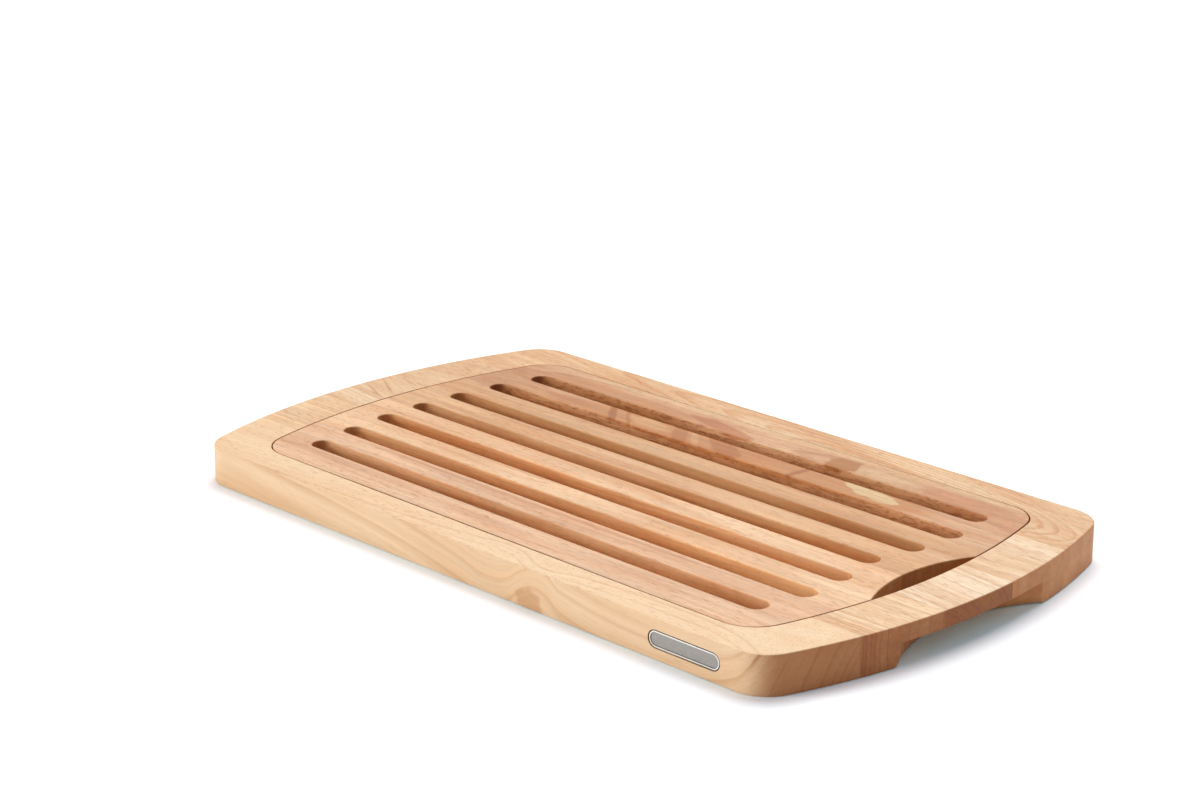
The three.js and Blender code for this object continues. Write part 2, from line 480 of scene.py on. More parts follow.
    def _rings(self, tree: Tree, radius: Source) -> Source:
        """Draws the usual rings, which are uneven in width and strength, with fine rings in them.

        Args:
            tree: The material's tree.
            radius: The distance from the pith.

        Returns:
            How much late wood there is, from about 0 to 1.
        """
        spell, unevenness, faintest = 4, 3.0, 0.15  # The spell of fat or lean years, in rings
        fine_count, fine_depth = 3.4, 0.07
        darkness = ((0.12, 0.0), (0.55, 0.12), (0.80, 0.45), (0.90, 1.0), (0.96, 0.9))
        end_darkness = 0.10
        years = add_node(
            tree,
            "ShaderNodeTexNoise",
            {"W": radius, "Scale": 1 / (spell * self.trunk.ring), "Detail": 1.0},
            noise_dimensions="1D",
        )
        count = add_node(
            tree, "ShaderNodeMath", {0: radius, 1: 1 / self.trunk.ring}, operation="MULTIPLY"
        )
        uneven = add_node(
            tree, "ShaderNodeMath", {0: years, 1: unevenness, 2: count}, operation="MULTIPLY_ADD"
        )
        phase = add_node(tree, "ShaderNodeMath", {0: uneven}, operation="FRACT")
        year = add_node(tree, "ShaderNodeMath", {0: uneven}, operation="FLOOR")
        chance = add_node(tree, "ShaderNodeTexWhiteNoise", {"W": year}, noise_dimensions="1D")
        strength = add_node(tree, "ShaderNodeMapRange", {0: chance, 3: faintest})
        late = add_node(tree, "ShaderNodeValToRGB", {0: phase})
        stops = late.color_ramp.elements
        for stop in stops:
            stop.color = linear_grey(end_darkness)
        for position, value in darkness:
            stops.new(position).color = linear_grey(value)
        rings = add_node(tree, "ShaderNodeMath", {0: late, 1: strength}, operation="MULTIPLY")
        turn = 2 * math.pi * fine_count
        fine = add_node(tree, "ShaderNodeMath", {0: uneven, 1: turn}, operation="MULTIPLY")
        wave = add_node(tree, "ShaderNodeMath", {0: fine}, operation="SINE")
        return add_node(
            tree, "ShaderNodeMath", {0: wave, 1: fine_depth, 2: rings}, operation="MULTIPLY_ADD"
        )

    def _lined(self, tree: Tree, radius: Source, line: GrowthLine, grown: Source) -> Source:
        """Adds a strong growth line, soft towards the pith and crisp away from it.

        Args:
            tree: The material's tree.
            radius: The distance from the pith.
            line: The line.
            grown: How much late wood there is without it.

        Returns:
            How much late wood there is with it.
        """
        crispness = 0.2
        start, stop = line.radius - line.width, line.radius + crispness * line.width
        soft = {0: radius, 1: start, 2: line.radius, 4: line.strength}
        inner = add_node(tree, "ShaderNodeMapRange", soft, **SMOOTH)
        crisp = {0: radius, 1: line.radius, 2: stop, 3: 1.0, 4: 0.0}
        outer = add_node(tree, "ShaderNodeMapRange", crisp, **SMOOTH)
        drawn = add_node(tree, "ShaderNodeMath", {0: inner, 1: outer}, operation="MULTIPLY")
        return add_node(tree, "ShaderNodeMath", {0: grown, 1: drawn}, operation="MAXIMUM")

    def _pores(self, tree: Tree, log: Source, end: Source, side: Source) -> Source:
        """Draws the vessels, which show as short dark dashes on a face.

        Real vessels are about 0.2 mm wide. They are drawn wider than that, to show at this size.

        Args:
            tree: The material's tree.
            log: The place in the log.
            end: Where the end grain is, in which they are too small to show.
            side: Where the surface was cut along the grain on edge, which closes most of them.

        Returns:
            1 in a deep pore and 0 elsewhere.
        """
        vessels = self._noise(tree, log, self.pore_size, detail=1.0)
        start, full = self.pore_limits
        pores = add_node(tree, "ShaderNodeMapRange", {0: vessels, 1: start, 2: full}, **SMOOTH)
        closed = add_node(tree, "ShaderNodeMath", {0: end, 1: side}, operation="MAXIMUM")
        shown = add_node(tree, "ShaderNodeMapRange", {0: closed, 3: 1.0, 4: self.closed_pores})
        return add_node(tree, "ShaderNodeMath", {0: pores, 1: shown}, operation="MULTIPLY")

    def _facing(self, tree: Tree, normal: Source, axis: str, limits: Pair) -> Source:
        """Finds where the surface faces along an axis of the board.

        Args:
            tree: The material's tree.
            normal: The surface's normal on the object.
            axis: X or Y.
            limits: The normal's share along the axis at which the effect starts and is full.

        Returns:
            1 where the surface faces along the axis and 0 elsewhere.
        """
        parts = add_node(tree, "ShaderNodeSeparateXYZ", {0: normal})
        along = add_node(tree, "ShaderNodeMath", {0: parts.outputs[axis]}, operation="ABSOLUTE")
        start, full = limits
        return add_node(tree, "ShaderNodeMapRange", {0: along, 1: start, 2: full}, **SMOOTH)

    def _slot_walls(self, tree: Tree, board: Source, side: Source) -> Source:
        """Tells the slots' walls from the panel's edges.

        Args:
            tree: The material's tree.
            board: The place on the board in millimetres.
            side: Where the surface faces along Y.

        Returns:
            1 on a slot's wall and 0 elsewhere.
        """
        place = add_node(tree, "ShaderNodeSeparateXYZ", {0: board})
        out = add_node(tree, "ShaderNodeMath", {0: place.outputs["Y"]}, operation="ABSOLUTE")
        inside = add_node(tree, "ShaderNodeMath", {0: out, 1: self.slots_end}, operation="LESS_THAN")
        return add_node(tree, "ShaderNodeMath", {0: side, 1: inside}, operation="MULTIPLY")

    def _wood_colour(
        self, tree: Tree, board: Source, late: Source, fibres: Source, pores: Source
    ) -> Source:
        """Mixes the wood's colour.

        Args:
            tree: The material's tree.
            board: The place on the board in millimetres.
            late: How much late wood there is.
            fibres: Fine noise along the grain.
            pores: Where the pores are.

        Returns:
            The colour.
        """
        light, dark = linear_colour(self.light), linear_colour(self.dark)
        wood = add_node(tree, "ShaderNodeMix", {0: late, 6: light, 7: dark}, data_type="RGBA")
        for patch in self.patches:
            wood = self._patched(tree, board, patch, wood)
        (start, full), (darker, paler) = self.fibre_limits, self.fibre_tone
        least, most = 1 - darker * self.grain, 1 + paler * self.grain
        tone = add_node(tree, "ShaderNodeMapRange", {0: fibres, 1: start, 2: full, 3: least, 4: most})
        toned = add_node(tree, "ShaderNodeVectorMath", {0: wood, "Scale": tone}, operation="SCALE")
        pitted = add_node(tree, "ShaderNodeMath", {0: pores, 1: self.pore_depth}, operation="MULTIPLY")
        return add_node(
            tree, "ShaderNodeMix", {0: pitted, 6: toned, 7: linear_colour(self.pore)}, data_type="RGBA"
        )

    def _tinted(self, tree: Tree, colour: Source, share: Source, tint: str, gain: float = 1.0) -> Source:
        """Multiplies the colour by a tint in some places.

        Args:
            tree: The material's tree.
            colour: The colour before.
            share: How much of the tint there is, from 0 to 1.
            tint: The tint.
            gain: What the tint itself is multiplied by.

        Returns:
            The colour after.
        """
        strong = [gain * part for part in linear_colour(tint)]
        return add_node(
            tree,
            "ShaderNodeMix",
            {0: share, 6: colour, 7: strong},
            data_type="RGBA",
            blend_type="MULTIPLY",
        )

    def _patched(self, tree: Tree, board: Source, patch: Patch, colour: Source) -> Source:
        """Lays a patch into the wood: other grain, painted light or painted shade.

        Args:
            tree: The material's tree.
            board: The place on the board in millimetres.
            patch: The patch.
            colour: The wood's colour.

        Returns:
            The colour with the patch in it.
        """
        near = add_node(
            tree,
            "ShaderNodeMapping",
            {
                "Vector": board,
                "Location": patch.place,
                "Rotation": (0, 0, math.radians(patch.turn)),
                "Scale": patch.reach,
            },
            vector_type="TEXTURE",
        )
        raggedness, middle = 1.1, 1.42
        noise = {"Vector": near, "Scale": raggedness, "Detail": 3.0}
        ragged = add_node(tree, "ShaderNodeTexNoise", noise)
        shape, power = near, 0.5
        if patch.square:
            shape = add_node(tree, "ShaderNodeVectorMath", {0: near, 1: near}, operation="MULTIPLY")
            power = 0.25
        total = add_node(tree, "ShaderNodeVectorMath", {0: shape, 1: shape}, operation="DOT_PRODUCT")
        far = add_node(tree, "ShaderNodeMath", {0: total, 1: power}, operation="POWER")
        edge = add_node(tree, "ShaderNodeMath", {0: far, 1: ragged}, operation="ADD")
        start, stop = middle - patch.blur / 2, middle + patch.blur / 2
        fade = {0: edge, 1: start, 2: stop, 3: patch.strength, 4: 0.0}
        inside = add_node(tree, "ShaderNodeMapRange", fade, **SMOOTH)
        mixed = {0: inside, 6: colour, 7: linear_colour(patch.colour)}
        return add_node(tree, "ShaderNodeMix", mixed, data_type="RGBA")

    def _curled(self, tree: Tree, board: Source, walls: Source, colour: Source) -> Source:
        """Draws the dark curls that a cutter leaves on a wall where the grain turns.

        Args:
            tree: The material's tree.
            board: The place on the board in millimetres.
            walls: Where the slots' walls are.
            colour: The wood's colour.

        Returns:
            The colour with its curls.
        """
        curls = self._noise(tree, board, self.curl_size, detail=3.0)
        curls.inputs["Distortion"].default_value = 2.0
        start, full = self.curl_limits
        fade = {0: curls, 1: start, 2: full, 4: self.curls}
        depth = add_node(tree, "ShaderNodeMapRange", fade, **SMOOTH)
        share = add_node(tree, "ShaderNodeMath", {0: depth, 1: walls}, operation="MULTIPLY")
        return self._tinted(tree, colour, share, self.curl)

    def _with_painted_light(self, tree: Tree, board: Source, colour: Source) -> Source:
        """Paints light onto the stave: paler towards its right end and darker towards its left.

        Args:
            tree: The material's tree.
            board: The place on the board in millimetres.
            colour: The wood's colour.

        Returns:
            The colour, paler at the right end and darker at the left end.
        """
        along = add_node(tree, "ShaderNodeSeparateXYZ", {0: board}).outputs["X"]
        slope = [part / self.half_length for part in self.painted_light_slope]
        sloped = {0: along, 1: slope, 2: (1, 1, 1)}
        tone = add_node(tree, "ShaderNodeVectorMath", sloped, operation="MULTIPLY_ADD")
        return add_node(tree, "ShaderNodeVectorMath", {0: colour, 1: tone}, operation="MULTIPLY")


@dataclass(frozen=True)
class StruckMetal:
    """Zinc alloy, struck, darkened and rubbed back, which gives a dull grey field in a bright rim.

    Attributes:
        name: The material's name.
        centre: The middle of the plate's face, in millimetres.
        reach: Half the length of the plate's straight sides, in millimetres.
        radius: Half the field's height, in millimetres.
        rim: The rim's width, in millimetres.
        step: How deep the field lies behind the rim, in millimetres.
        bright: The rubbed metal's colour.
        dull: The darkened metal's colour.
        black: The dark colour in the field's corner, where the metal's own darkening stays in the
            hollow along with painted shade of the step, and on the rim's outer edge and the plate's
            sides, where it is painted shade of the gap round the plate.
        patina_and_shade: How wide that dark band is, in millimetres.
        grit: The size of the spots that the rubbing leaves, in millimetres.
        spots: How much brighter or duller than the rest they are, from 0 to 1.
        relief: Their depth, in millimetres.
        roughness: The darkened and the rubbed metal's roughness.
    """

    name: str
    centre: Triple
    reach: float
    radius: float
    rim: float
    step: float
    bright: str = "#e0dad2"
    dull: str = "#8d8983"
    black: str = "#3e3834"
    patina_and_shade: float = 0.5
    grit: float = 0.5
    spots: float = 0.18
    relief: float = 0.05
    roughness: Pair = (0.5, 0.28)

    def material(self) -> bpy.types.Material:
        """Builds the node material.

        Returns:
            The material.
        """
        material, tree = new_material(self.name)
        place = add_node(tree, "ShaderNodeTexCoord")
        spotted = {"Vector": place.outputs["Object"], "Scale": 1 / (self.grit * MM), "Detail": 3.0}
        grain = add_node(tree, "ShaderNodeTexNoise", spotted)
        plate = add_node(
            tree,
            "ShaderNodeMapping",
            {
                "Vector": place.outputs["Object"],
                "Location": [part * MM for part in self.centre],
                "Scale": (MM, MM, MM),
            },
            vector_type="TEXTURE",
        )
        out = self._out(tree, plate)
        share = self._rubbed(tree, plate, out, grain)
        # The dark colour from the field's corner outwards: darkening in the hollow with painted shade of
        # the step, and painted shade of the seat's gap on the rim's outer edge and sides
        fade = {0: out, 1: self.radius - self.patina_and_shade, 2: self.radius}
        corner = add_node(tree, "ShaderNodeMapRange", fade, **SMOOTH)
        shades = {0: corner, 6: linear_colour(self.dull), 7: linear_colour(self.black)}
        dark = add_node(tree, "ShaderNodeMix", shades, data_type="RGBA")
        shades = {0: share, 6: dark, 7: linear_colour(self.bright)}
        colour = add_node(tree, "ShaderNodeMix", shades, data_type="RGBA")
        relief = {"Strength": 0.3, "Distance": self.relief * MM, "Height": grain}
        bump = add_node(tree, "ShaderNodeBump", relief)
        dull, bright = self.roughness
        rough = add_node(tree, "ShaderNodeMapRange", {0: share, 3: dull, 4: bright})
        shader = add_node(
            tree,
            "ShaderNodeBsdfPrincipled",
            {"Base Color": colour, "Metallic": 1.0, "Roughness": rough, "Normal": bump},
        )
        add_node(tree, "ShaderNodeOutputMaterial", {"Surface": shader})
        return material

    def _rubbed(self, tree: Tree, plate: Source, out: Source, grain: Source) -> Source:
        """Finds where the plate is rubbed bright: on its rim, leaving painted shade on its outer edge and
        sides.

        Args:
            tree: The material's tree.
            plate: The place from the middle of the plate's face, in millimetres.
            out: How far out the place lies, as _out finds it.
            grain: The noise that makes the spots.

        Returns:
            How bright the metal is, from 0 to 1.
        """
        # Below the rim's face the metal stays dark: darkened in the field, painted shade on the plate's
        # sides
        depth = add_node(tree, "ShaderNodeSeparateXYZ", {0: plate}).outputs["Y"]
        start, stop = 0.3 * self.step, 0.7 * self.step
        fade = {0: depth, 1: start, 2: stop, 3: 1.0, 4: 0.0}
        raised = add_node(tree, "ShaderNodeMapRange", fade, **SMOOTH)
        # Painted shade: the rim's outer edge stays dark, for the shadow in the seat's gap
        edge = self.radius + self.rim
        start, stop = edge - 0.6 * self.patina_and_shade, edge - 0.2 * self.patina_and_shade
        fade = {0: out, 1: start, 2: stop, 3: 1.0, 4: 0.0}
        inner = add_node(tree, "ShaderNodeMapRange", fade, **SMOOTH)
        worn = add_node(tree, "ShaderNodeMath", {0: raised, 1: inner}, operation="MULTIPLY")
        low, high = 0.3, 0.7
        change = {0: grain, 1: low, 2: high, 3: -self.spots, 4: self.spots}
        spots = add_node(tree, "ShaderNodeMapRange", change)
        return add_node(tree, "ShaderNodeMath", {0: worn, 1: spots}, operation="ADD", use_clamp=True)

    def _out(self, tree: Tree, plate: Source) -> Source:
        """Finds how far out a place lies from the line between the round ends' centres.

        Args:
            tree: The material's tree.
            plate: The place from the middle of the plate's face, in millimetres.

        Returns:
            The distance in millimetres.
        """
        left, right = (-self.reach, 0, 0), (self.reach, 0, 0)
        flat = add_node(tree, "ShaderNodeVectorMath", {0: plate, 1: (1, 0, 1)}, operation="MULTIPLY")
        nearest = add_node(tree, "ShaderNodeVectorMath", {0: flat, 1: left}, operation="MAXIMUM")
        nearest = add_node(tree, "ShaderNodeVectorMath", {0: nearest, 1: right}, operation="MINIMUM")
        spine = add_node(tree, "ShaderNodeVectorMath", {0: nearest, 1: (1, 0, 0)}, operation="MULTIPLY")
        return add_node(tree, "ShaderNodeVectorMath", {0: flat, 1: spine}, operation="DISTANCE")


# Outlines and solids


@dataclass(frozen=True)
class Arc:
    """A round stretch of an outline, seen from above, in millimetres.

    Attributes:
        centre: The arc's centre.
        radius: The arc's radius.
        start: The angle at which the arc starts.
        sweep: The angle that it turns through, anticlockwise.
        steps: How many edges it is made of.
    """

    centre: Pair
    radius: float
    start: float
    sweep: float
    steps: int

    def draw(
        self, bm: bmesh.types.BMesh, height: float, offset: float
    ) -> tuple[bmesh.types.BMVert, bmesh.types.BMVert]:
        """Spins a vertex along the arc.

        Args:
            bm: The mesh that it is drawn in.
            height: The arc's height.
            offset: How far the arc is moved outwards.

        Returns:
            The arc's first and last vertices.
        """
        centre = Vector((*self.centre, height)) * MM
        reach = (self.radius + offset) * MM
        start = centre + reach * Vector((math.cos(self.start), math.sin(self.start), 0))
        first = bm.verts.new(start)
        spun = bmesh.ops.spin(
            bm, geom=[first], cent=centre, axis=UP, angle=self.sweep, steps=self.steps
        )
        return first, spun["geom_last"][0]


@dataclass(frozen=True)
class BowedPlan:
    """A rectangle with bowed ends and round corners, in millimetres.

    Attributes:
        half_length: From the middle to the top of a bow.
        half_width: From the middle to a side.
        end_radius: The bow's radius.
        corner_radius: The corner's radius.
    """

    half_length: float
    half_width: float
    end_radius: float
    corner_radius: float

    def corner(self) -> Vector:
        """Finds the right-hand back corner.

        Returns:
            The centre of its arc.
        """
        reach = self.end_radius - self.corner_radius
        y = self.half_width - self.corner_radius
        return Vector((self.half_length - self.end_radius + math.sqrt(reach**2 - y**2), y))

    def grown(self, by: float) -> "BowedPlan":
        """The same plan, larger all round by so much."""
        return BowedPlan(
            self.half_length + by, self.half_width + by, self.end_radius + by, self.corner_radius + by
        )

    def outline(self) -> list[Arc]:
        """Draws the plan as arcs.

        Returns:
            The arcs, anticlockwise from the front right corner.
        """
        corner = self.corner()
        bow = self.half_length - self.end_radius
        turn = math.atan2(corner.y, corner.x - bow)
        rest = QUARTER_TURN - turn
        end_steps, corner_steps = 72, 18
        return [
            Arc((corner.x, -corner.y), self.corner_radius, -QUARTER_TURN, rest, corner_steps),
            Arc((bow, 0), self.end_radius, -turn, 2 * turn, end_steps),
            Arc((corner.x, corner.y), self.corner_radius, turn, rest, corner_steps),
            Arc((-corner.x, corner.y), self.corner_radius, QUARTER_TURN, rest, corner_steps),
            Arc((-bow, 0), self.end_radius, math.pi - turn, 2 * turn, end_steps),
            Arc((-corner.x, -corner.y), self.corner_radius, math.pi + turn, rest, corner_steps),
        ]


def slot_outline(left: float, right: float, y: float, radius: float) -> list[Arc]:
    """A slot with round ends.

    Args:
        left: The left end's centre along X.
        right: The right end's centre along X.
        y: The slot's centre line.
        radius: Half the slot's width.

    Returns:
        The two round ends.
    """
    steps = 20
    return [
        Arc((right, y), radius, -QUARTER_TURN, math.pi, steps),
        Arc((left, y), radius, QUARTER_TURN, math.pi, steps),
    ]


def disc_outline(x: float, radius: float) -> list[Arc]:
    """A disc centred on the X axis, as two half turns."""
    steps = 150
    return [Arc((x, 0), radius, 0, math.pi, steps), Arc((x, 0), radius, math.pi, math.pi, steps)]


@dataclass(frozen=True)
class Level:
    """A level in a lofted solid.

    Attributes:
        height: Its height, in millimetres.
        offset: How far the outline is moved outwards there, in millimetres.
    """

    height: float
    offset: float = 0.0


def draw_ring(bm: bmesh.types.BMesh, arcs: Sequence[Arc], level: Level) -> list[bmesh.types.BMEdge]:
    """Draws a closed outline at one level.

    Args:
        bm: The mesh that it is drawn in.
        arcs: The outline's arcs in order.
        level: The height and the offset.

    Returns:
        The outline's edges.
    """
    old_edges = set(bm.edges)
    old_verts = set(bm.verts)
    ends = [arc.draw(bm, level.height, level.offset) for arc in arcs]
    for (_, last), (first, _) in zip(ends, ends[1:] + ends[:1]):
        bm.edges.new((last, first))
    drawn = [vert for vert in bm.verts if vert not in old_verts]
    touching = 0.001 * MM
    bmesh.ops.remove_doubles(bm, verts=drawn, dist=touching)
    return [edge for edge in bm.edges if edge not in old_edges]


def loft(name: str, arcs: Sequence[Arc], levels: Sequence[Level]) -> bpy.types.Object:
    """Makes a closed solid through an outline drawn at several levels.

    Args:
        name: The object's name.
        arcs: The outline's arcs in order.
        levels: The levels from the lowest to the highest.

    Returns:
        The solid's object.
    """
    bm = bmesh.new()
    rings = [draw_ring(bm, arcs, level) for level in levels]
    for lower, upper in zip(rings, rings[1:]):
        bmesh.ops.bridge_loops(bm, edges=lower + upper)
    bmesh.ops.contextual_create(bm, geom=rings[0])
    bmesh.ops.contextual_create(bm, geom=rings[-1])
    bmesh.ops.recalc_face_normals(bm, faces=bm.faces)
    return as_object(name, bm)


def as_object(name: str, bm: bmesh.types.BMesh) -> bpy.types.Object:
    """Turns a mesh under construction into an object in the scene, and frees it.

    Args:
        name: The object's name.
        bm: The mesh under construction.

    Returns:
        The object.
    """
    mesh = bpy.data.meshes.new(name)
    bm.to_mesh(mesh)
    bm.free()
    piece = bpy.data.objects.new(name, mesh)
    bpy.context.scene.collection.objects.link(piece)
    return piece


def rounded_levels(low: float, high: float, radius: float, steps: int) -> list[Level]:
    """The levels of a solid whose upper and lower arrises are rounded.

    Args:
        low: The lower face's height.
        high: The upper face's height.
        radius: The arrises' radius.
        steps: How many faces round each arris.

    Returns:
        The levels from the lowest to the highest.
    """
    angles = [QUARTER_TURN * step / steps for step in range(steps + 1)]
    lower = [Level(low + radius * (1 - math.cos(a)), radius * (math.sin(a) - 1)) for a in angles]
    upper = [Level(low + high - level.height, level.offset) for level in reversed(lower)]
    return lower + upper


def mouth_levels(end: float, mouth: float, radius: float, steps: int) -> list[Level]:
    """The levels of a cutter that leaves a rounded arris round its mouth.

    Args:
        end: The height at which the cut ends.
        mouth: The height of the face that it opens, above or below the end.
        radius: The arris's radius.
        steps: How many faces round the arris.

    Returns:
        The levels from the lowest to the highest.
    """
    overrun = 2.0
    way = math.copysign(1, mouth - end)
    angles = [QUARTER_TURN * step / steps for step in range(steps + 1)]
    levels = [Level(end)]
    for a in angles:
        levels.append(Level(mouth + way * radius * (math.sin(a) - 1), radius * (1 - math.cos(a))))
    levels.append(Level(mouth + way * overrun, radius))
    return levels if way > 0 else levels[::-1]


class Cut(Enum):
    """What a boolean cut keeps."""

    AWAY = "DIFFERENCE"
    COMMON = "INTERSECT"


def cut(body: bpy.types.Object, tools: Sequence[bpy.types.Object], way: Cut) -> None:
    """Cuts a body with several tools, and deletes the tools.

    Args:
        body: The object whose mesh is cut.
        tools: The cutting objects.
        way: What is kept.
    """
    for tool in tools:
        modifier = body.modifiers.new(tool.name, "BOOLEAN")
        modifier.object = tool
        modifier.operation = way.value
        modifier.solver = "MANIFOLD"
    graph = bpy.context.evaluated_depsgraph_get()
    mesh = bpy.data.meshes.new_from_object(body.evaluated_get(graph))
    old = body.data
    body.modifiers.clear()
    body.data = mesh
    bpy.data.meshes.remove(old)
    for tool in tools:
        bpy.data.objects.remove(tool)


def slice_between(name: str, body: bpy.types.Object, front: float, back: float) -> bpy.types.Object:
    """Takes the slice of a body between two planes across Y.

    Args:
        name: The new object's name.
        body: The whole body, which stays.
        front: The front plane in millimetres.
        back: The back plane in millimetres.

    Returns:
        The slice.
    """
    side = 1.0
    bm = bmesh.new()
    bmesh.ops.create_cube(bm, size=side)
    bmesh.ops.scale(bm, vec=(1, (back - front) * MM / side, 1), verts=bm.verts)
    bmesh.ops.translate(bm, vec=(0, (front + back) / 2 * MM, 0), verts=bm.verts)
    slab = as_object("slab", bm)
    piece = bpy.data.objects.new(name, body.data.copy())
    bpy.context.scene.collection.objects.link(piece)
    cut(piece, [slab], Cut.COMMON)
    return piece


def smooth_shade(piece: bpy.types.Object) -> None:
    """Shades a piece smooth, apart from its sharp edges.

    Args:
        piece: The piece.
    """
    angle = math.radians(28)
    mesh = piece.data
    mesh.polygons.foreach_set("use_smooth", [True] * len(mesh.polygons))
    mesh.set_sharp_from_angle(angle=angle)
    weighted = piece.modifiers.new("face_weighted", "WEIGHTED_NORMAL")
    weighted.keep_sharp = True


def dress(piece: bpy.types.Object, material: bpy.types.Material, body: str, node: str) -> None:
    """Gives a finished piece its material, and ties it to the frame.

    Args:
        piece: The piece.
        material: Its material.
        body: The body that it moves with.
        node: The node that it stands for.
    """
    piece.data.materials.clear()
    piece.data.materials.append(material)
    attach(piece, body)
    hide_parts(node)


# Sub-assemblies


@dataclass
class CrumbTray:
    """The lower part: a routed panel with a pocket, a crumb space and two handholds.

    Attributes:
        length: Along the board, over the bowed ends.
        width: Across the board.
        height: The panel's thickness.
        end_radius: The bowed ends' radius.
        corner_radius: The corners' radius.
        arris: The radius of the panel's arrises.
        floor: What is left below the crumb space.
        crumb_depth: The crumb space's depth below the insert.
        end_rim: From an end to the middle of the gap round the insert.
        side_rim: From a side to the middle of that gap.
        seam_corner_radius: That gap's corner radius.
        seam_arris: The radius of the arrises along it.
        clearance: Half the gap's width.
        ledge_width: How far the ledge that carries the insert reaches in.
        handhold_radius: The radius of the round cutter that makes a handhold.
        handhold_lip: The wood above a handhold.
        handhold_wall: The wood between a handhold and the pocket.
        handhold_arris: The radius of the handhold's mouth.
        staves: The staves' wood, from the front one to the back one.
    """

    length: float = 480.0
    width: float = 270.0
    height: float = 22.0
    end_radius: float = 370.0
    corner_radius: float = 22.0
    arris: float = 1.0
    floor: float = 5.0
    crumb_depth: float = 6.0
    end_rim: float = 33.3
    side_rim: float = 20.5
    seam_corner_radius: float = 23.0
    seam_arris: float = 0.4
    clearance: float = 0.35
    ledge_width: float = 6.0
    handhold_radius: float = 110.0
    handhold_lip: float = 9.3
    handhold_wall: float = 12.7
    handhold_arris: float = 4.0
    staves: Sequence[Rubberwood] = field(default_factory=list)

    def plan(self) -> BowedPlan:
        """The tray's outline."""
        return BowedPlan(self.length / 2, self.width / 2, self.end_radius, self.corner_radius)

    def seam(self) -> BowedPlan:
        """Draws the middle of the gap between the tray and the insert.

        Returns:
            Its outline.
        """
        return BowedPlan(
            self.length / 2 - self.end_rim,
            self.width / 2 - self.side_rim,
            self.end_radius,
            self.seam_corner_radius,
        )

    def ledge(self) -> float:
        """The height of the ledge that carries the insert."""
        return self.floor + self.crumb_depth

    def build(self, plate: "Nameplate") -> list[bpy.types.Object]:
        """Builds the tray's staves, dressed.

        Args:
            plate: The nameplate, whose seat is cut into the front stave.

        Returns:
            The staves from the front one to the back one.
        """
        levels = rounded_levels(0, self.height, self.arris, steps=6)
        body = loft("tray", self.plan().outline(), levels)
        cut(body, [*self._pocket_tools(), *self._handhold_tools(), plate.seat_tool(self)], Cut.AWAY)
        width = self.width / len(self.staves)
        pieces = []
        for index, wood in enumerate(self.staves):
            front = index * width - self.width / 2
            node = f"tray_stave_{index + 1}"
            piece = slice_between(f"{node}_wood", body, front, front + width)
            smooth_shade(piece)
            dress(piece, wood.material(), "tray", node)
            pieces.append(piece)
        bpy.data.objects.remove(body)
        return pieces

    def _pocket_tools(self) -> list[bpy.types.Object]:
        """Makes the cutters of the insert's pocket and of the crumb space below it.

        Returns:
            Both cutters.
        """
        overlap = 2.0
        pocket = self.seam().grown(self.clearance)
        space = pocket.grown(-self.ledge_width)
        upper = mouth_levels(self.ledge(), self.height, self.seam_arris, steps=4)
        lower = [Level(self.floor), Level(self.ledge() + overlap)]
        return [
            loft("pocket", pocket.outline(), upper),
            loft("crumb_space", space.outline(), lower),
        ]

    def _handhold_tools(self) -> list[bpy.types.Object]:
        """Makes the cutters of the handholds under both ends.

        Returns:
            Both cutters.
        """
        reach = self.end_rim - self.clearance - self.handhold_wall
        centre = self.length / 2 - reach + self.handhold_radius
        levels = mouth_levels(self.height - self.handhold_lip, 0, self.handhold_arris, steps=8)
        return [
            loft(name, disc_outline(x, self.handhold_radius), levels)
            for name, x in (("left_handhold", -centre), ("right_handhold", centre))
        ]


